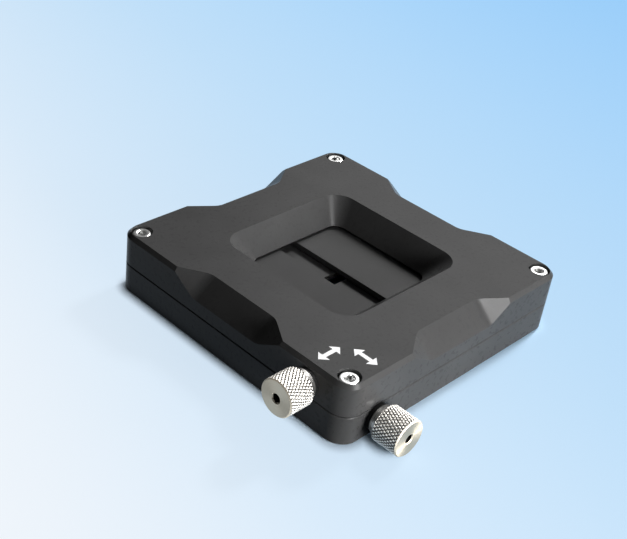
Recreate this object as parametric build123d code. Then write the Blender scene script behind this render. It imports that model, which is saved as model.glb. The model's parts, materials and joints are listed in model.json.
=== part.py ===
from build123d import *
from math import hypot
import os

# Adjustable slit with four blades, in millimetres.
# The origin is the point where the optical axis meets the underside. +Z runs out of the front window.
# The x pair of blades travels in the cover and the y pair in the base. Each pair is drawn together or
# apart by one lead screw, cut left-handed on one half and right-handed on the other.

# Housing
side = 75.0
corner_radius = 4.5
base_height = 7.5
cover_height = 8.3
wall = 3.0
top_chamfer = 0.9
seam_chamfer = 0.2
foot_chamfer = 0.4

# Windows: square, with a thin lip over the blades and a flare of about 45 degrees to the outside
window_side = 30.5
window_corner = 2.9
window_lip = 0.15
mouth_side = 41.0
mouth_corner = 5.5

# Finger scallops in the four top edges
scallop_inset = 5.3
scallop_drop = 4.6
scallop_floor = 21.0
scallop_reach = 37.2
scallop_blend = 6.7

# Corner screws, M2.5 socket head
screw_inset = 3.75
screw_radius = 1.25
screw_length = 10.0
screw_head_radius = 2.25
screw_head_height = 2.5
screw_hex = 2.0
screw_hex_depth = 1.3
screw_sink = 0.3
counterbore_radius = 2.6
screw_clearance = 0.2
tapped_hole_spare = 0.7

# Post hole in the hidden +Y side of the base, M4
post_hole_radius = 1.65
post_hole_depth = 8.0
post_hole_height = 3.0
post_hole_chamfer = 0.4

# Blades
blade_thickness = 1.4
blade_length = 17.2
blade_edge_break = 0.1
blade_corner = 1.0
x_blade_front = 6.35
pair_clearance = 0.25
roof_clearance = 0.75

# Rest opening of each pair and the middle that it opens about
x_gap = 5.7
x_middle = -1.7
y_gap = 3.45
y_middle = 0.2

# Carriers: a nut block on the lead screw and a slider block on the guide rod
block_length = 12.0
block_width = 7.6
block_height = 4.0
block_setback = 4.0
block_edge = 0.5
block_side_clearance = 0.4
block_end_clearance = 0.35
axis_height = 1.85

# Lead screws with a turned collar, and guide rods
x_offset = 26.1
y_offset = 27.4
lead_radius = 1.25
lead_journal_radius = 1.5
lead_tail_radius = 1.0
lead_stem = 4.5
collar_radius = 2.0
collar_thickness = 0.5
rod_radius = 1.25
rod_seat = 2.0
rod_recess = 0.4
running_clearance = 0.03
seat_clearance = 0.01

# Bushes: the collar passes the outer bush's bore in the wall, so the bush goes in after the lead screw
outer_bush_radius = 2.5
bush_flange_radius = 3.2
bush_flange = 0.85
inner_bush_radius = 2.0
inner_bush_length = 2.2
end_play = 0.05

# Knobs
knob_length = 8.3
knob_radius = 4.4
knob_shoulder_radius = 3.4
knob_shoulder = 1.3
knob_back_chamfer = 0.6
knob_face_chamfer = 0.2
knob_hex = 2.0
knob_hex_depth = 2.0

# Places worked out from the sizes above
half = side / 2
total_height = base_height + cover_height
travel_half = half - wall
x_face = total_height - x_blade_front
y_face = x_face - 2 * blade_thickness - pair_clearance
room_half = block_width / 2 + block_side_clearance
knob_back = half + bush_flange + end_play
screw_place = half - screw_inset

# Each layer has the travel along its x, the lead screw on its -y side and the carriers on its +z side.
x_layer = Plane(origin=(0, 0, x_face), x_dir=(1, 0, 0), z_dir=(0, 0, 1))
y_layer = Plane(origin=(0, 0, y_face), x_dir=(0, 1, 0), z_dir=(0, 0, -1))


def box_between(low, high):
    """Box from its lowest to its highest corner."""
    size = [b - a for a, b in zip(low, high)]
    middle = [(a + b) / 2 for a, b in zip(low, high)]
    return Pos(*middle) * Box(*size)


def bar(radius, start, end, across):
    """Round bar along the travel, from start to end, at the height of the lead screw."""
    rod = Cylinder(radius, end - start, align=(Align.CENTER, Align.CENTER, Align.MIN))
    return Pos(start, across, axis_height) * Rot(0, 90, 0) * rod


def turned(section, across):
    """Turned piece from the (along, radius) points of its half section."""
    face = make_face(Polyline(*section, close=True))
    return Pos(0, across, axis_height) * revolve(face, Axis.X)


def hex_socket(across_flats, depth):
    """Hexagon bar that hangs down from z = 0."""
    return extrude(RegularPolygon(across_flats / 2, 6, major_radius=False), -depth)


def housing_block(low, height, top_edge, bottom_edge):
    """Square block with round corners, chamfered along its top and bottom outline."""
    block = Pos(0, 0, low) * extrude(RectangleRounded(side, side, corner_radius), height)
    block = chamfer(block.faces().sort_by(Axis.Z)[-1].edges(), top_edge)
    return chamfer(block.faces().sort_by(Axis.Z)[0].edges(), bottom_edge)


def scallop():
    """Cutter of the scallop in the +X top edge: a blended trough that runs down the floor's slope."""
    slope = hypot(scallop_inset, scallop_drop)
    edge_depth = scallop_inset * scallop_drop / slope
    run = (scallop_reach - scallop_floor) / 2
    top = 2 * edge_depth
    floor_half = scallop_floor / 2
    top_half = floor_half + run * top / edge_depth
    outline = Polyline((-floor_half, 0), (floor_half, 0), (top_half, top), (-top_half, top), close=True)
    trough = make_face(outline)
    trough = fillet(trough.vertices().group_by(Axis.Y)[0], scallop_blend)
    floor = Plane(
        origin=(half - scallop_inset, 0, total_height),
        x_dir=(0, 1, 0),
        z_dir=(scallop_inset, 0, -scallop_drop),
    )
    return extrude(floor * trough, 3 * slope, both=True)


def window_flare(outer):
    """Cutter of one window, from the blades out to the housing's face at z = outer."""
    lip_end = roof_clearance + window_lip
    opening = RectangleRounded(window_side, window_side, window_corner)
    mouth = RectangleRounded(mouth_side, mouth_side, mouth_corner)
    flare = loft([Pos(0, 0, lip_end) * opening, Pos(0, 0, outer) * mouth], ruled=True)
    return extrude(opening, lip_end) + flare


def blade_room(offset, reach):
    """Space that one pair of blades slides in, down to z = -reach."""
    across = offset + room_half
    return box_between((-travel_half, -across, -reach), (travel_half, across, roof_clearance))


def carrier_room(across):
    """Trench that the carriers of one lead screw or guide rod slide in."""
    low = (-travel_half, across - room_half, -wall)
    high = (travel_half, across + room_half, block_height + block_end_clearance)
    return box_between(low, high)


def layer_room(offset):
    """All that one half of the housing gives to its mechanism: blade space, trenches and bores."""
    room = blade_room(offset, wall)
    room += carrier_room(-offset)
    room += carrier_room(offset)
    room += bar(outer_bush_radius + seat_clearance, -half - 1, -travel_half, -offset)
    room += bar(inner_bush_radius + seat_clearance, travel_half, travel_half + inner_bush_length, -offset)
    room += bar(rod_radius + seat_clearance, -travel_half - rod_seat, half + 1, offset)
    return room


def at_corners(piece):
    """Four copies of a piece, one at each corner screw."""
    return [place * piece for place in GridLocations(2 * screw_place, 2 * screw_place, 2, 2)]


def cover():
    """Front half: scallops, counterbores, front window and the room of the x pair."""
    body = housing_block(base_height, cover_height, top_chamfer, seam_chamfer)
    for turn in range(4):
        body -= Rot(0, 0, 90 * turn) * scallop()
    body -= x_layer * window_flare(x_blade_front)
    body -= x_layer * layer_room(x_offset)
    body -= y_layer * blade_room(y_offset, blade_thickness + pair_clearance)
    head_room = Pos(0, 0, total_height) * Cylinder(counterbore_radius, 2 * (screw_sink + screw_head_height))
    shank_room = Pos(0, 0, total_height) * Cylinder(screw_radius + screw_clearance, 2 * cover_height)
    for hole in at_corners(head_room + shank_room):
        body -= hole
    return body


def post_hole():
    """Cutter of the tapped hole for a post, with its mouth chamfer."""
    drill = Cylinder(post_hole_radius, 2 * post_hole_depth)
    mouth = Cone(post_hole_radius, post_hole_radius + 2 * post_hole_chamfer, 2 * post_hole_chamfer)
    return Pos(0, half, post_hole_height) * Rot(-90, 0, 0) * (drill + mouth)


def base():
    """Rear half: rear window, tapped corner holes, post hole and the room of the y pair."""
    body = housing_block(0, base_height, seam_chamfer, foot_chamfer)
    body -= y_layer * window_flare(y_face)
    body -= y_layer * layer_room(y_offset)
    tip = total_height - screw_sink - screw_head_height - screw_length
    depth = base_height - tip + tapped_hole_spare
    tapped = Pos(0, 0, base_height) * Cylinder(screw_radius + seat_clearance, 2 * depth)
    for hole in at_corners(tapped):
        body -= hole
    body -= post_hole()
    return body


def corner_screws():
    """The four socket head screws that hold the halves together."""
    head_top = total_height - screw_sink
    head = extrude(Circle(screw_head_radius), -screw_head_height)
    head -= hex_socket(screw_hex, screw_hex_depth)
    shank = Pos(0, 0, -screw_head_height) * extrude(Circle(screw_radius), -screw_length)
    return Part() + at_corners(Pos(0, 0, head_top) * (head + shank))


def blade(edge, way, offset):
    """Straight-edged blade that spans both carriers, with the slit edge at x = edge."""
    across = 2 * offset + block_width
    plate = Rectangle(blade_length, across)
    plate = extrude(Pos(edge + way * blade_length / 2, 0, -blade_thickness) * plate, blade_thickness)
    far_corners = plate.edges().filter_by(Axis.Z).sort_by(Axis.X)
    far_corners = far_corners[2:] if way > 0 else far_corners[:2]
    plate = fillet(far_corners, blade_corner)
    slit_edges = plate.edges().filter_by(Axis.Y).sort_by(Axis.X)
    slit_edges = slit_edges[:2] if way > 0 else slit_edges[-2:]
    return chamfer(slit_edges, blade_edge_break)


def block(edge, way, across, bore):
    """Carrier block on the blade, with a running bore along the travel."""
    middle = edge + way * (block_setback + block_length / 2)
    low = (middle - block_length / 2, across - block_width / 2, 0)
    high = (middle + block_length / 2, across + block_width / 2, block_height)
    body = box_between(low, high)
    body = chamfer(body.edges().filter_by(Axis.X).group_by(Axis.Z)[-1], block_edge)
    return body - bar(bore, low[0] - 1, high[0] + 1, across)


def lead_screw(offset):
    """Lead screw with knob stem and journal in one, collar, threaded length and tail journal."""
    collar_start = -travel_half + end_play
    collar_end = collar_start + collar_thickness
    thread_end = travel_half - end_play
    tail_end = thread_end + inner_bush_length
    section = [
        (-knob_back - lead_stem, 0),
        (-knob_back - lead_stem, lead_journal_radius),
        (collar_start, lead_journal_radius),
        (collar_start, collar_radius),
        (collar_end, collar_radius),
        (collar_end, lead_radius),
        (thread_end, lead_radius),
        (thread_end, lead_tail_radius),
        (tail_end, lead_tail_radius),
        (tail_end, 0),
    ]
    return turned(section, -offset)


def outer_bush(offset):
    """Bush that the lead screw turns in, with its flange between the housing and the knob."""
    bore = lead_journal_radius + running_clearance
    section = [
        (-travel_half, bore),
        (-travel_half, outer_bush_radius),
        (-half, outer_bush_radius),
        (-half, bush_flange_radius),
        (-half - bush_flange, bush_flange_radius),
        (-half - bush_flange, bore),
    ]
    return turned(section, -offset)


def inner_bush(offset):
    """Plain bush in the far wall for the lead screw's tail."""
    bore = lead_tail_radius + running_clearance
    end = travel_half + inner_bush_length
    return bar(inner_bush_radius, travel_half, end, -offset) - bar(bore, travel_half - 1, end + 1, -offset)


def guide_rod(offset):
    """Ground rod that the slider blocks run on."""
    return bar(rod_radius, -travel_half - rod_seat, half - rod_recess, offset)


def knob(offset):
    """Round knob with a smooth shoulder and a hexagon socket in its end face."""
    face = -knob_back - knob_length
    stem_end = -knob_back - lead_stem - end_play
    shoulder_end = -knob_back - knob_shoulder
    section = [
        (-knob_back, lead_journal_radius + seat_clearance),
        (-knob_back, knob_shoulder_radius),
        (shoulder_end, knob_shoulder_radius),
        (shoulder_end - knob_back_chamfer, knob_radius),
        (face + knob_face_chamfer, knob_radius),
        (face, knob_radius - knob_face_chamfer),
        (face, 0),
        (stem_end, 0),
        (stem_end, lead_journal_radius + seat_clearance),
    ]
    socket = Pos(face, -offset, axis_height) * Rot(0, -90, 0) * hex_socket(knob_hex, knob_hex_depth)
    return turned(section, -offset) - socket


def blade_set(names, layer, gap, middle, offset):
    """The two blades of one pair with their blocks, by node name."""
    nodes = {}
    for name, way in zip(names, (-1, 1)):
        edge = middle + way * gap / 2
        nut_bore = lead_radius + running_clearance
        slider_bore = rod_radius + running_clearance
        nodes[f"{name}_blade"] = layer.location * blade(edge, way, offset)
        nodes[f"{name}_nut_block"] = layer.location * block(edge, way, -offset, nut_bore)
        nodes[f"{name}_slider_block"] = layer.location * block(edge, way, offset, slider_bore)
    return nodes


def drive_set(name, layer, offset):
    """The knob, lead screw, bearings and guide rod of one pair, by node name."""
    pieces = {
        "knob": knob(offset),
        "lead_screw": lead_screw(offset),
        "outer_bush": outer_bush(offset),
        "inner_bush": inner_bush(offset),
        "guide_rod": guide_rod(offset),
    }
    return {f"{name}_{piece}": layer.location * solid for piece, solid in pieces.items()}


nodes = {"cover": cover(), "base": base(), "corner_screws": corner_screws()}
nodes |= drive_set("x", x_layer, x_offset)
nodes |= drive_set("y", y_layer, y_offset)
nodes |= blade_set(("x_left", "x_right"), x_layer, x_gap, x_middle, x_offset)
nodes |= blade_set(("y_front", "y_back"), y_layer, y_gap, y_middle, y_offset)

os.makedirs("parts", exist_ok=True)
for name, solid in nodes.items():
    export_step(solid, f"parts/{name}.step")
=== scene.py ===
import bpy
import json
import math
from mathutils import Matrix, Vector


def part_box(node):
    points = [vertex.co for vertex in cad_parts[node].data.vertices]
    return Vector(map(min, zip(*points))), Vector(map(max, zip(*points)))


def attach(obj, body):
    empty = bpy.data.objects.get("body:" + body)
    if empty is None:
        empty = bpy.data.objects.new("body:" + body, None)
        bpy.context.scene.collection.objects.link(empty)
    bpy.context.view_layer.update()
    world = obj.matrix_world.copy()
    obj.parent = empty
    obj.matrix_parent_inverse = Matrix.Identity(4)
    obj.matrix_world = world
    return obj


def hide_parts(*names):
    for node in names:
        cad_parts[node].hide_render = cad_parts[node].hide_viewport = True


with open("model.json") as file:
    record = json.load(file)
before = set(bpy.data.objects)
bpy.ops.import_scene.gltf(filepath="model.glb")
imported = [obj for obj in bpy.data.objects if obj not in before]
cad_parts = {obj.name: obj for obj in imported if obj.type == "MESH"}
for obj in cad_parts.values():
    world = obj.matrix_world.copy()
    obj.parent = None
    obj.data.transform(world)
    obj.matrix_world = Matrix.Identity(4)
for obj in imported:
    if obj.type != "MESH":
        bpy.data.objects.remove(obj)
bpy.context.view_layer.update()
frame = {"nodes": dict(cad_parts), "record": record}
nodes = frame["nodes"]

MM = 0.001
UP = Vector((0, 0, 1))
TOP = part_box("cover")[1].z

# Camera, fitted to the photograph: place, degrees, lens and sensor in mm, shift in sensor widths
CAMERA_PLACE = Vector((-178.35, -140.44, 156.32)) * MM
CAMERA_HEADING = 43.175
CAMERA_DIP = 32.52
CAMERA_ROLL = 6.41
CAMERA_LENS = 64.08
CAMERA_SENSOR = 36
CAMERA_SHIFT = (0.0877, -0.025)
CAMERA_CLIP = (0.01, 50)

# Knob knurl: two crossing sets of grooves, each with its count around and its waves per metre along
KNURL_SETS = ((38, -620), (32, 910))
KNURL_DEPTH = 0.2 * MM
KNURL_FLAT = 0.55
KNURL_RUNOUT = 0.1 * MM
KNURL_COLUMNS = 480
KNURL_STEP = 0.078 * MM

# Knob body, from the housing side to the end face
SHOULDER_RADIUS = 3.4 * MM
SHOULDER_END = 1.3 * MM
BACK_CHAMFER = 0.6 * MM
GRIP_START = SHOULDER_END + BACK_CHAMFER
FACE_CHAMFER = 0.25 * MM
EDGE_BREAK = 0.2 * MM
STEM_RADIUS = 1.51 * MM
STEM_DEPTH = 4.55 * MM
HEX_FLATS = 2.0 * MM
HEX_DEPTH = 2.0 * MM
HEX_MOUTH = 1.3 * MM
HEX_MOUTH_DEPTH = 0.25 * MM
HEX_CONE = 0.3 * MM

# Bands of faces between the knob's rings: behind the grip, in front of it, and in the socket
KNOB_BACK_BANDS = 5
KNOB_FRONT_BANDS = 5
KNOB_SOCKET_BANDS = 2

# Corner screws: how far a head lies below the cover, and its shape
SCREW_REACH = 33.75 * MM
SCREW_SINK = 0.45 * MM
SCREW_HEAD_HEIGHT = 2.4 * MM
SCREW_HEAD_RADIUS = 2.18 * MM
SCREW_HEAD_ROUNDING = 0.4 * MM
SCREW_ROUNDING_STEPS = 6
SCREW_RADIUS = 1.25 * MM
SCREW_HEX_FLATS = 2.0 * MM
SCREW_HEX_DEPTH = 1.3 * MM
SCREW_HEX_CONE = 0.25 * MM
SCREW_MOUTH = 1.34 * MM
SCREW_MOUTH_DEPTH = 0.18 * MM
SCREW_COLUMNS = 96
SCREW_SOCKET_BANDS = 2

# Screws' corners as signs of x and y, each with the angle that its socket is turned by
SCREW_CORNERS = ((-1, -1, 0.35), (1, -1, 0.1), (1, 1, 0.6), (-1, 1, 0.2))

# Radius of the small flat caps that close a turned mesh in its middle
POLE_RADIUS = 0.02 * MM

# Printed arrows on the cover
ARROW_LENGTH = 6.65 * MM
ARROW_HEAD = 1.75 * MM
ARROW_HALF_WIDTH = 1.66 * MM
ARROW_SHAFT_HALF = 0.52 * MM
ARROW_INK = 0.012 * MM
X_ARROW_PLACE = (-31.63 * MM, -25.95 * MM)
Y_ARROW_PLACE = (-26.36 * MM, -31.43 * MM)

# Colours
# Seam colour: painted shade along the seam between cover and base
SEAM_SHADE_COLOUR = (0.002, 0.002, 0.002)
# Groove colour: painted shade in the knurl's grooves
GROOVE_SHADE_COLOUR = (0.06, 0.057, 0.052)
KNURL_COLOUR = (0.80, 0.77, 0.72)
COLLAR_COLOURS = ((0.42, 0.41, 0.39), (0.52, 0.51, 0.49))
FACE_COLOURS = ((0.48, 0.42, 0.33), (0.58, 0.52, 0.42))
INK_COLOURS = ((0.92, 0.925, 0.93), (0.97, 0.97, 0.975))

# Roughness: of the knurl from its grooves to its tops, and elsewhere of its smoothest and its
# roughest spots
KNURL_ROUGHNESS = (0.6, 0.48)
COLLAR_ROUGHNESS = (0.25, 0.35)
FACE_ROUGHNESS = (0.5, 0.58)
INK_ROUGHNESS = 0.55
FLOOR_ROUGHNESS = 0.8

# Noise: the part of its range that is used, and for each use its scale in periods per metre,
# its detail and its roughness; a metal's grain has its scale stated with the metal
NOISE_RANGE = (0.3, 0.7)
MOTTLE_NOISE = (90, 4, 0.6)
GLOSS_NOISE = (900, 3, 0.6)
BLAST_NOISE = (5000, 2, 0.5)
INK_NOISE = (2500, 3, 0.6)
KNURL_NOISE = (6000, 3, 0.6)
GRAIN_NOISE = (3, 0.6)
GRAIN_TO_TONE = 6
RING_SCALE, RING_DETAIL, RING_ROUGHNESS = 5500, 3, 0.6

# Bumps: strength and height in metres
BLAST_BUMP = (0.05, 0.00002)
METAL_BUMP = (0.1, 0.00001)
KNURL_BUMP = (0.08, 0.00001)
RING_BUMP = (0.15, 0.00001)

# Knurl heights over which the painted shade in the grooves gives way to the metal's own colour,
# and how far the highlight of the turned faces is stretched
KNURL_GROOVE_SHADE = (0.18, 0.5)
TURNED_ANISOTROPY = 0.6

# Seam between cover and base: the height of its middle, and the half widths over which its line
# of painted shade fades
SEAM_HEIGHT = 7.62 * MM
SEAM_SHADE_FADE = (0.09 * MM, 0.2 * MM)

# Floor: its colour by the distance along one direction, and how much of it is unshaded
FLOOR_REACH = 6.0
FLOOR_FADE_WAY = (0.97, -0.24, 0)
FLOOR_FADE = (
    (-0.10, (0.92, 0.95, 0.985)),
    (-0.04, (0.68, 0.82, 0.955)),
    (0.04, (0.52, 0.735, 0.94)),
    (0.14, (0.40, 0.66, 0.94)),
    (0.26, (0.29, 0.57, 0.90)),
)
FLOOR_GLOW = 0.92
FLOOR_BOUNCE = (0.06, 0.06, 0.06)

# Contact shadow: how far it fades outwards, and the rounded boxes that it fades from,
# each with its middle, half sides and corner radius
CONTACT_FADE = (-0.8 * MM, 3.0 * MM)
CONTACT_BOXES = (
    ((0, 0), (37.5 * MM, 37.5 * MM), 4.5 * MM),
    ((-28 * MM, -39 * MM), (2.6 * MM, 5 * MM), 2.5 * MM),
)

# Surroundings: dark to pale along one direction
WORLD_FADE_WAY = (0.65, 0.35, 0.68)
WORLD_FADE = (0.3, 1.0)
WORLD_DARK = (0.004, 0.0042, 0.0045)
WORLD_PALE = (0.16, 0.16, 0.16)

# Lamps: name, place and side in metres, and power in watts
KEY_LAMP = ("key", (0.59, 0.06, 0.54), 0.12, 6.2)
SIDE_LAMP = ("side", (0.56, -0.56, 0.17), 0.36, 2.6)
FRONT_LAMP = ("front", (0.0, -0.78, 0.08), 0.36, 6.4)
NEAR_LAMP = ("near", (-0.034, -0.2, 0.06), 0.08, 0.033)
PANEL_LAMP = ("panel", (0.57, 0.36, 0.47), 0.3, 0.55)
GLINT_LAMP = ("glint", (0.05, -0.525, 0.6), 0.28, 14.0)

# The near lamp alone is narrow and aimed at the housing's front corner, the others at its middle
NEAR_AIM = (-0.03, -0.0375, 0.01)
NEAR_SPREAD = math.radians(60)


def new_material(name):
    """New material, with its node tree and its Principled shader."""
    made = bpy.data.materials.new(name)
    made.use_nodes = True
    tree = made.node_tree
    return made, tree, tree.nodes["Principled BSDF"]


def add_node(tree, kind, **values):
    """New node; inputs are set by name, properties by attribute."""
    node = tree.nodes.new(kind)
    for key, value in values.items():
        if key in node.inputs:
            node.inputs[key].default_value = value
        else:
            setattr(node, key, value)
    return node


def object_place(tree):
    """Place in object space."""
    return add_node(tree, "ShaderNodeTexCoord").outputs["Object"]


def split_place(tree, place):
    """The three coordinates of a place, as outputs."""
    split = add_node(tree, "ShaderNodeSeparateXYZ")
    tree.links.new(place, split.inputs[0])
    return split.outputs


def dot(tree, vector, way):
    """Length of a vector along a fixed direction."""
    node = add_node(tree, "ShaderNodeVectorMath", operation="DOT_PRODUCT")
    tree.links.new(vector, node.inputs[0])
    node.inputs[1].default_value = way
    return node.outputs["Value"]


def noise(tree, scale, detail, roughness):
    """Noise in object space, its scale in periods per metre."""
    field = add_node(
        tree, "ShaderNodeTexNoise", Scale=scale, Detail=detail, Roughness=roughness)
    tree.links.new(object_place(tree), field.inputs["Vector"])
    return field.outputs["Fac"]


def spread(tree, value, low, high, to_low, to_high):
    """Value mapped from low..high to to_low..to_high, clamped."""
    node = add_node(tree, "ShaderNodeMapRange")
    node.inputs["From Min"].default_value = low
    node.inputs["From Max"].default_value = high
    node.inputs["To Min"].default_value = to_low
    node.inputs["To Max"].default_value = to_high
    tree.links.new(value, node.inputs["Value"])
    return node.outputs["Result"]


def calculate(tree, operation, first, second=None, third=None):
    """Math node on links or plain numbers."""
    node = add_node(tree, "ShaderNodeMath", operation=operation)
    for socket, value in zip(node.inputs, (first, second, third)):
        if isinstance(value, (int, float)):
            socket.default_value = value
        elif value is not None:
            tree.links.new(value, socket)
    return node.outputs[0]


def diagonal(tree, first, second):
    """Root of the sum of two squares."""
    square = calculate(tree, "MULTIPLY", second, second)
    return calculate(tree, "SQRT", calculate(tree, "MULTIPLY_ADD", first, first, square))


def blend_colour(tree, factor, first, second):
    """Colour between first and second by factor; either is a fixed colour or a link."""
    node = add_node(tree, "ShaderNodeMix", data_type="RGBA")
    for socket, colour in ((node.inputs[6], first), (node.inputs[7], second)):
        if isinstance(colour, tuple):
            socket.default_value = (*colour, 1)
        else:
            tree.links.new(colour, socket)
    tree.links.new(factor, node.inputs["Factor"])
    return node.outputs[2]


def add_bump(tree, shader, height, strength, distance):
    """Bump from a height field into the shader's normal."""
    node = add_node(tree, "ShaderNodeBump", Strength=strength, Distance=distance)
    tree.links.new(height, node.inputs["Height"])
    tree.links.new(node.outputs["Normal"], shader.inputs["Normal"])


def anodised(name, colours, roughness, specular, seam=None):
    """Fine blasted black anodising: faint mottling in colour and gloss, a fine grain,
    and a line of painted shade without gloss at one height if stated."""
    made, tree, shader = new_material(name)
    mottle = spread(tree, noise(tree, *MOTTLE_NOISE), *NOISE_RANGE, 0, 1)
    colour = blend_colour(tree, mottle, *colours)
    gloss = noise(tree, *GLOSS_NOISE)
    tree.links.new(spread(tree, gloss, *NOISE_RANGE, *roughness), shader.inputs["Roughness"])
    shader.inputs["Specular IOR Level"].default_value = specular
    add_bump(tree, shader, noise(tree, *BLAST_NOISE), *BLAST_BUMP)
    # Painted shade: a dark line without gloss along the seam
    if seam:
        height = split_place(tree, object_place(tree))["Z"]
        away = calculate(tree, "ABSOLUTE", calculate(tree, "SUBTRACT", height, seam))
        out_of_shade = spread(tree, away, *SEAM_SHADE_FADE, 0, 1)
        colour = blend_colour(tree, out_of_shade, SEAM_SHADE_COLOUR, colour)
        gleam = calculate(tree, "MULTIPLY", out_of_shade, specular)
        tree.links.new(gleam, shader.inputs["Specular IOR Level"])
    tree.links.new(colour, shader.inputs["Base Color"])
    return made


def bare_metal(name, colours, roughness, grain):
    """Bare or plated metal with a fine machined grain, in periods per metre."""
    made, tree, shader = new_material(name)
    shader.inputs["Metallic"].default_value = 1.0
    tone = spread(tree, noise(tree, grain / GRAIN_TO_TONE, *GRAIN_NOISE), *NOISE_RANGE, 0, 1)
    tree.links.new(blend_colour(tree, tone, *colours), shader.inputs["Base Color"])
    fine = noise(tree, grain, *GRAIN_NOISE)
    tree.links.new(spread(tree, fine, *NOISE_RANGE, *roughness), shader.inputs["Roughness"])
    add_bump(tree, shader, fine, *METAL_BUMP)
    return made


def printed_ink(name):
    """White screen-printed ink, a little uneven."""
    made, tree, shader = new_material(name)
    tone = noise(tree, *INK_NOISE)
    colour = blend_colour(tree, spread(tree, tone, *NOISE_RANGE, 0, 1), *INK_COLOURS)
    tree.links.new(colour, shader.inputs["Base Color"])
    shader.inputs["Roughness"].default_value = INK_ROUGHNESS
    add_bump(tree, shader, tone, *METAL_BUMP)
    return made


def axis_values(tree, back, out):
    """Offset from the middle of a knob's back, with its two parts across the knob's axis
    and its part along it."""
    offset = add_node(tree, "ShaderNodeVectorMath", operation="SUBTRACT")
    tree.links.new(object_place(tree), offset.inputs[0])
    offset.inputs[1].default_value = back
    parts = [dot(tree, offset.outputs[0], way) for way in (UP, out.cross(UP), out)]
    return offset.outputs[0], *parts


def knurled_metal(name, back, out):
    """Bright diamond tops and grooves darkened by painted shade, by the same two wave sets as the
    knob's mesh.
    """
    made, tree, shader = new_material(name)
    _, first, second, along = axis_values(tree, back, out)
    turn = calculate(tree, "DIVIDE", calculate(tree, "ARCTAN2", second, first), 2 * math.pi)
    from_back = calculate(tree, "SUBTRACT", along, GRIP_START)
    waves = []
    for count, per_metre in KNURL_SETS:
        shift = calculate(tree, "MULTIPLY", from_back, per_metre)
        phase = calculate(tree, "MULTIPLY_ADD", turn, count, shift)
        waves.append(calculate(tree, "MULTIPLY", calculate(tree, "PINGPONG", phase, 0.5), 2))
    # Painted shade: the grooves turn dark and the diamond tops keep the metal's colour
    out_of_shade = spread(tree, calculate(tree, "MINIMUM", *waves), *KNURL_GROOVE_SHADE, 0, 1)
    colour = blend_colour(tree, out_of_shade, GROOVE_SHADE_COLOUR, KNURL_COLOUR)
    tree.links.new(colour, shader.inputs["Base Color"])
    tree.links.new(spread(tree, out_of_shade, 0, 1, *KNURL_ROUGHNESS), shader.inputs["Roughness"])
    shader.inputs["Metallic"].default_value = 1.0
    add_bump(tree, shader, noise(tree, *KNURL_NOISE), *KNURL_BUMP)
    return made


def turned_metal(name, back, out, colours, roughness):
    """Turned metal: fine rings about the knob's axis, in colour, gloss and height."""
    made, tree, shader = new_material(name)
    offset, first, second, along = axis_values(tree, back, out)
    around = add_node(tree, "ShaderNodeVectorMath", operation="CROSS_PRODUCT")
    tree.links.new(offset, around.inputs[0])
    around.inputs[1].default_value = out
    tree.links.new(around.outputs[0], shader.inputs["Tangent"])
    shader.inputs["Anisotropic"].default_value = TURNED_ANISOTROPY
    reach = calculate(tree, "ADD", diagonal(tree, second, first), along)
    rings = add_node(
        tree, "ShaderNodeTexNoise", noise_dimensions="1D",
        Scale=RING_SCALE, Detail=RING_DETAIL, Roughness=RING_ROUGHNESS)
    tree.links.new(reach, rings.inputs["W"])
    tone = spread(tree, rings.outputs["Fac"], *NOISE_RANGE, 0, 1)
    tree.links.new(blend_colour(tree, tone, *colours), shader.inputs["Base Color"])
    tree.links.new(spread(tree, tone, 0, 1, *roughness), shader.inputs["Roughness"])
    shader.inputs["Metallic"].default_value = 1.0
    add_bump(tree, shader, tone, *RING_BUMP)
    return made


def floor_colour(tree, place):
    """Floor's colour as a soft ramp along its fading direction."""
    start, end = FLOOR_FADE[0][0], FLOOR_FADE[-1][0]
    node = add_node(tree, "ShaderNodeValToRGB")
    along = spread(tree, dot(tree, place, FLOOR_FADE_WAY), start, end, 0, 1)
    tree.links.new(along, node.inputs["Fac"])
    ramp = node.color_ramp
    ramp.interpolation = "B_SPLINE"
    while len(ramp.elements) < len(FLOOR_FADE):
        ramp.elements.new(0.5)
    for stop, (at, colour) in zip(ramp.elements, FLOOR_FADE):
        stop.position = (at - start) / (end - start)
        stop.color = (*colour, 1)
    return node.outputs["Color"]


def seen_ray(tree):
    """1 for the rays that show the floor, straight or in metal and glass, 0 for the others."""
    path = add_node(tree, "ShaderNodeLightPath")
    seen = path.outputs["Is Camera Ray"]
    for kind in ("Is Glossy Ray", "Is Transmission Ray"):
        seen = calculate(tree, "MAXIMUM", seen, path.outputs[kind])
    return seen


def outside_box(tree, place, middle, half, corner):
    """Distance outside a rounded box on the floor."""
    beyond = []
    for axis in (0, 1):
        shift = calculate(tree, "SUBTRACT", place[axis], middle[axis])
        past = calculate(
            tree, "SUBTRACT", calculate(tree, "ABSOLUTE", shift), half[axis] - corner)
        beyond.append(calculate(tree, "MAXIMUM", past, 0))
    return calculate(tree, "SUBTRACT", diagonal(tree, *beyond), corner)


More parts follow.
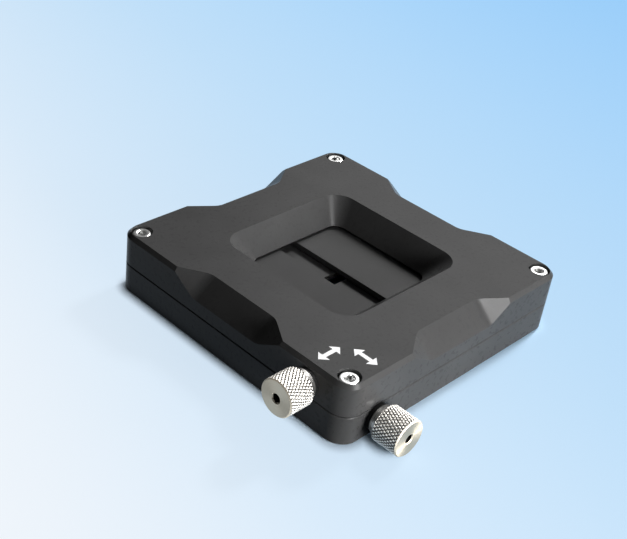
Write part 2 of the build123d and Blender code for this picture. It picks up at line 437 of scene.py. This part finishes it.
def floor_material(name):
    """Pale blue card, paler towards the left. The rays that show it get most of its colour
    as it is written, less where the object stands as a painted contact shadow, and the others meet
    a dark card."""
    made, tree, shader = new_material(name)
    place = object_place(tree)
    colour = floor_colour(tree, place)
    seen = seen_ray(tree)
    card = blend_colour(tree, seen, FLOOR_BOUNCE, colour)
    tree.links.new(card, shader.inputs["Base Color"])
    shader.inputs["Roughness"].default_value = FLOOR_ROUGHNESS
    shader.inputs["Specular IOR Level"].default_value = 0.0
    glow = add_node(tree, "ShaderNodeEmission", Strength=1.0)
    tree.links.new(colour, glow.inputs["Color"])
    sides = split_place(tree, place)
    reaches = [outside_box(tree, sides, *box) for box in CONTACT_BOXES]
    outside = spread(tree, calculate(tree, "MINIMUM", *reaches), *CONTACT_FADE, 0, 1)
    outside.node.interpolation_type = "SMOOTHSTEP"
    # Painted contact shadow: less glow close to the housing and the y knob
    part = calculate(tree, "MULTIPLY", seen, calculate(tree, "MULTIPLY", outside, FLOOR_GLOW))
    mix = add_node(tree, "ShaderNodeMixShader")
    tree.links.new(part, mix.inputs[0])
    tree.links.new(shader.outputs["BSDF"], mix.inputs[1])
    tree.links.new(glow.outputs["Emission"], mix.inputs[2])
    tree.links.new(mix.outputs["Shader"], tree.nodes["Material Output"].inputs["Surface"])
    return made


def wear(obj, made):
    """One material over the whole object."""
    obj.data.materials.clear()
    obj.data.materials.append(made)


def mesh_object(name, points, faces, *finishes):
    """Mesh object from points in metres and faces, with its materials."""
    data = bpy.data.meshes.new(name)
    data.from_pydata([tuple(p) for p in points], [], faces)
    data.validate()
    data.update()
    obj = bpy.data.objects.new(name, data)
    bpy.context.scene.collection.objects.link(obj)
    for made in finishes:
        obj.data.materials.append(made)
    return obj


def ring_faces(start, rings, columns):
    """Faces between the rings of points that begin at start, then the caps of the first
    and the last ring."""
    faces = []
    for j in range(rings - 1):
        for i in range(columns):
            a = start + j * columns + i
            b = start + j * columns + (i + 1) % columns
            faces.append((a, a + columns, b + columns, b))
    last = start + (rings - 1) * columns
    faces.append([start + i for i in range(columns)])
    faces.append([last + i for i in range(columns)][::-1])
    return faces


def wave(phase):
    """Triangle wave: 0 at whole phases, 1 half way between."""
    return 1 - abs(2 * (phase % 1.0) - 1)


def knurl_height(turn, along):
    """Height of the knurl from 0 in a groove to 1 on a diamond's flat top."""
    lowest = min(wave(turn * count + along * waves) for count, waves in KNURL_SETS)
    return min(lowest / KNURL_FLAT, 1.0)


def grip_radius(turn, along, length, radius):
    """Radius of the knurled part at one angle (in turns) and distance from the knob's back."""
    from_back = along - GRIP_START
    from_face = length - FACE_CHAMFER - along
    cone = min(radius, radius + from_face)
    runout = min(1.0, max(0.0, min(from_back, from_face) / KNURL_RUNOUT))
    height = knurl_height(turn, from_back)
    return min(cone, radius - KNURL_DEPTH * (1 - height) * runout)


def hexagon_radius(turn, flats):
    """Distance from the middle to the side of a hexagon at an angle in turns."""
    sixth = math.pi / 3
    return flats / 2 / math.cos((2 * math.pi * turn % sixth) - sixth / 2)


def knob_rings(length, radius):
    """Rings of the whole knob, from the stem's hole round the outside to the socket's floor:
    pairs of the radius by the turn and the distance from the back."""
    rings = [
        (lambda t: POLE_RADIUS, STEM_DEPTH),
        (lambda t: STEM_RADIUS, STEM_DEPTH),
        (lambda t: STEM_RADIUS, 0),
        (lambda t: SHOULDER_RADIUS - EDGE_BREAK, 0),
        (lambda t: SHOULDER_RADIUS, EDGE_BREAK),
        (lambda t: SHOULDER_RADIUS, SHOULDER_END),
    ]
    grip = length - FACE_CHAMFER - GRIP_START
    count = math.ceil(grip / KNURL_STEP)
    for step in range(count + 1):
        along = GRIP_START + grip * step / count
        rings.append((lambda t, a=along: grip_radius(t, a, length, radius), along))
    rings += [
        (lambda t: radius - FACE_CHAMFER, length),
        (lambda t: HEX_MOUTH, length),
        (lambda t: hexagon_radius(t, HEX_FLATS), length - HEX_MOUTH_DEPTH),
        (lambda t: hexagon_radius(t, HEX_FLATS), length - HEX_DEPTH),
        (lambda t: POLE_RADIUS, length - HEX_DEPTH - HEX_CONE),
    ]
    return rings


def knob(name, node, outward):
    """Knurled knob in the place of its CAD node, whose axis runs along outward."""
    low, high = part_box(node)
    axis, side = (0, 1) if outward[0] else (1, 0)
    length = high[axis] - low[axis]
    radius = (high[side] - low[side]) / 2
    back = (low + high) / 2
    back[axis] = high[axis] if outward[axis] < 0 else low[axis]
    out = Vector(outward)
    across = out.cross(UP)
    columns = KNURL_COLUMNS
    rings = knob_rings(length, radius)
    points = []
    for ring_radius, along in rings:
        for i in range(columns):
            angle = 2 * math.pi * i / columns
            r = ring_radius(i / columns)
            reach = UP * (r * math.cos(angle)) + across * (r * math.sin(angle))
            points.append(back + out * along + reach)
    grip = knurled_metal(name + "_grip", back, out)
    collar = turned_metal(name + "_collar", back, out, COLLAR_COLOURS, COLLAR_ROUGHNESS)
    face = turned_metal(name + "_face", back, out, FACE_COLOURS, FACE_ROUGHNESS)
    faces = ring_faces(0, len(rings), columns)
    # The socket faces wear the near-black dark_steel: painted shade inside the hex socket
    obj = mesh_object(name, points, faces, grip, collar, face, dark_steel)
    bands = len(rings) - 1
    for at, polygon in enumerate(obj.data.polygons):
        band = at // columns
        if band < KNOB_BACK_BANDS:
            polygon.material_index = 1
        elif band < bands - KNOB_FRONT_BANDS:
            polygon.material_index = 0
        elif band < bands - KNOB_SOCKET_BANDS:
            polygon.material_index = 2
        # Socket faces: painted shade
        else:
            polygon.material_index = 3
    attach(obj, f"{name[0]}_drive")
    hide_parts(node)


def screw_rings():
    """Rings of one socket head screw from the socket's floor to the tip: pairs of the radius
    by the turn and the height."""
    top = TOP - SCREW_SINK
    head_bottom = top - SCREW_HEAD_HEIGHT
    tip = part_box("corner_screws")[0].z
    rings = [
        (lambda t: POLE_RADIUS, top - SCREW_HEX_DEPTH - SCREW_HEX_CONE),
        (lambda t: hexagon_radius(t, SCREW_HEX_FLATS), top - SCREW_HEX_DEPTH),
        (lambda t: hexagon_radius(t, SCREW_HEX_FLATS), top - SCREW_MOUTH_DEPTH),
        (lambda t: SCREW_MOUTH, top),
    ]
    for step in range(SCREW_ROUNDING_STEPS + 1):
        angle = math.pi / 2 * step / SCREW_ROUNDING_STEPS
        outer = SCREW_HEAD_RADIUS - SCREW_HEAD_ROUNDING * (1 - math.sin(angle))
        height = top - SCREW_HEAD_ROUNDING * (1 - math.cos(angle))
        rings.append((lambda t, r=outer: r, height))
    rings += [
        (lambda t: SCREW_HEAD_RADIUS, head_bottom),
        (lambda t: SCREW_RADIUS, head_bottom),
        (lambda t: SCREW_RADIUS, tip),
        (lambda t: POLE_RADIUS, tip),
    ]
    return rings


def corner_screws(name, made):
    """The four corner screws with rounded heads, each turned a little differently."""
    columns = SCREW_COLUMNS
    rings = screw_rings()
    points = []
    faces = []
    for x_sign, y_sign, turned in SCREW_CORNERS:
        faces += ring_faces(len(points), len(rings), columns)
        x, y = x_sign * SCREW_REACH, y_sign * SCREW_REACH
        for ring_radius, height in rings:
            for i in range(columns):
                angle = 2 * math.pi * i / columns + turned
                r = ring_radius(i / columns)
                points.append((x + r * math.cos(angle), y + r * math.sin(angle), height))
    obj = mesh_object(name, points, faces, made, socket_shade_steel)
    # The socket faces wear the darker steel, painted shade inside the hex
    faces_each = len(faces) // len(SCREW_CORNERS)
    for at, polygon in enumerate(obj.data.polygons):
        in_socket = at % faces_each < SCREW_SOCKET_BANDS * columns
        polygon.material_index = 1 if in_socket else 0
    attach(obj, "housing")
    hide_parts("corner_screws")


def arrow(name, place, along, made):
    """Printed double arrow, a film of ink on the cover."""
    half = ARROW_LENGTH / 2
    neck = half - ARROW_HEAD
    outline = [
        (half, 0), (neck, ARROW_HALF_WIDTH), (neck, ARROW_SHAFT_HALF),
        (-neck, ARROW_SHAFT_HALF), (-neck, ARROW_HALF_WIDTH), (-half, 0),
        (-neck, -ARROW_HALF_WIDTH), (-neck, -ARROW_SHAFT_HALF),
        (neck, -ARROW_SHAFT_HALF), (neck, -ARROW_HALF_WIDTH),
    ]
    way = Vector((*along, 0))
    across = Vector((-along[1], along[0], 0))
    points = []
    for height in (0, ARROW_INK):
        origin = Vector((*place, TOP + height))
        points += [origin + way * u + across * v for u, v in outline]
    count = len(outline)
    faces = [list(range(count))[::-1], [count + i for i in range(count)]]
    for i in range(count):
        k = (i + 1) % count
        faces.append((i, k, count + k, count + i))
    obj = mesh_object(name, points, faces, made)
    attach(obj, "housing")


def make_camera():
    """The photograph's camera: heading and dip of the line of sight, then the roll about it."""
    data = bpy.data.cameras.new("camera")
    data.lens = CAMERA_LENS
    data.sensor_width = CAMERA_SENSOR
    data.shift_x, data.shift_y = CAMERA_SHIFT
    data.clip_start, data.clip_end = CAMERA_CLIP
    camera = bpy.data.objects.new("camera", data)
    heading, dip = math.radians(CAMERA_HEADING), math.radians(CAMERA_DIP)
    level = math.cos(dip)
    sight = Vector((level * math.cos(heading), level * math.sin(heading), -math.sin(dip)))
    roll = Matrix.Rotation(math.radians(CAMERA_ROLL), 3, "Z")
    turn = sight.to_track_quat("-Z", "Y").to_matrix() @ roll
    camera.matrix_world = Matrix.Translation(CAMERA_PLACE) @ turn.to_4x4()
    bpy.context.scene.collection.objects.link(camera)
    bpy.context.scene.camera = camera


def softbox(name, place, side, power, aim=(0, 0, 0)):
    """Square area lamp aimed at a point of the object, its middle unless stated."""
    data = bpy.data.lights.new(name, "AREA")
    data.shape = "SQUARE"
    data.size = side
    data.energy = power
    lamp = bpy.data.objects.new(name, data)
    lamp.location = place
    lamp.rotation_euler = (Vector(aim) - Vector(place)).to_track_quat("-Z", "Y").to_euler()
    bpy.context.scene.collection.objects.link(lamp)
    return lamp


def make_lamps():
    """All lamps. The near one is narrow, and the glint shows in gloss alone."""
    softbox(*KEY_LAMP)
    softbox(*SIDE_LAMP)
    softbox(*FRONT_LAMP)
    softbox(*NEAR_LAMP, NEAR_AIM).data.spread = NEAR_SPREAD
    softbox(*PANEL_LAMP)
    softbox(*GLINT_LAMP).visible_diffuse = False


def make_world():
    """Soft surroundings, dark on the left and pale on the right and behind."""
    world = bpy.data.worlds.new("studio")
    world.use_nodes = True
    tree = world.node_tree
    back = tree.nodes["Background"]
    way = add_node(tree, "ShaderNodeTexCoord").outputs["Generated"]
    fade = spread(tree, dot(tree, way, WORLD_FADE_WAY), *WORLD_FADE, 0, 1)
    tree.links.new(blend_colour(tree, fade, WORLD_DARK, WORLD_PALE), back.inputs["Color"])
    back.inputs["Strength"].default_value = 1.0
    bpy.context.scene.world = world


def make_floor():
    """Plain floor that the housing lies on."""
    reach = FLOOR_REACH
    points = [(-reach, -reach, 0), (reach, -reach, 0), (reach, reach, 0), (-reach, reach, 0)]
    floor = mesh_object("floor", points, [(0, 1, 2, 3)], floor_material("floor_card"))


def grey(value):
    """Neutral colour."""
    return (value, value, value)


# Anodised finishes: name, dark and pale colour, roughness from and to, specular level
housing_black = anodised(
    "housing_black", (grey(0.056), grey(0.066)), (0.26, 0.31), 0.07, SEAM_HEIGHT)
blade_black = anodised("blade_black", (grey(0.052), grey(0.061)), (0.3, 0.38), 0.1)
# Near black; on the knobs it is painted shade inside their hex sockets
dark_steel = anodised("dark_steel", (grey(0.012), grey(0.018)), (0.3, 0.4), 0.2)

# Metals: name, two colours, roughness from and to, grain
knob_nickel = bare_metal(
    "knob_nickel", ((0.60, 0.55, 0.46), (0.68, 0.63, 0.53)), (0.22, 0.32), 6000)
screw_steel = bare_metal(
    "screw_steel", ((0.78, 0.78, 0.77), (0.86, 0.86, 0.85)), (0.26, 0.36), 6000)
# Darker steel inside the screws' hex sockets: painted shade in the recess
socket_shade_steel = bare_metal(
    "socket_shade_steel", (grey(0.46), (0.58, 0.58, 0.57)), (0.24, 0.34), 6000)
ground_steel = bare_metal("ground_steel", (grey(0.52), grey(0.60)), (0.2, 0.3), 5000)
brass = bare_metal("brass", ((0.70, 0.50, 0.20), (0.80, 0.60, 0.28)), (0.25, 0.35), 5000)
white_ink = printed_ink("white_ink")

finish_of_slot = {
    "black_aluminium": housing_black,
    "blade_black": blade_black,
    "nickel": knob_nickel,
    "bright_steel": screw_steel,
    "dark_steel": dark_steel,
    "ground_steel": ground_steel,
    "brass": brass,
}
for part in frame["record"]["subparts"]:
    wear(nodes[part["node"]], finish_of_slot[part["material_slot"]])

knob("x_knob_knurled", "x_knob", (-1, 0, 0))
knob("y_knob_knurled", "y_knob", (0, -1, 0))
corner_screws("corner_screws_rounded", screw_steel)
arrow("x_arrow", X_ARROW_PLACE, (1, 0), white_ink)
arrow("y_arrow", Y_ARROW_PLACE, (0, 1), white_ink)

make_camera()
make_floor()
make_world()
make_lamps()

scene = bpy.context.scene
scene.view_settings.view_transform = "Standard"
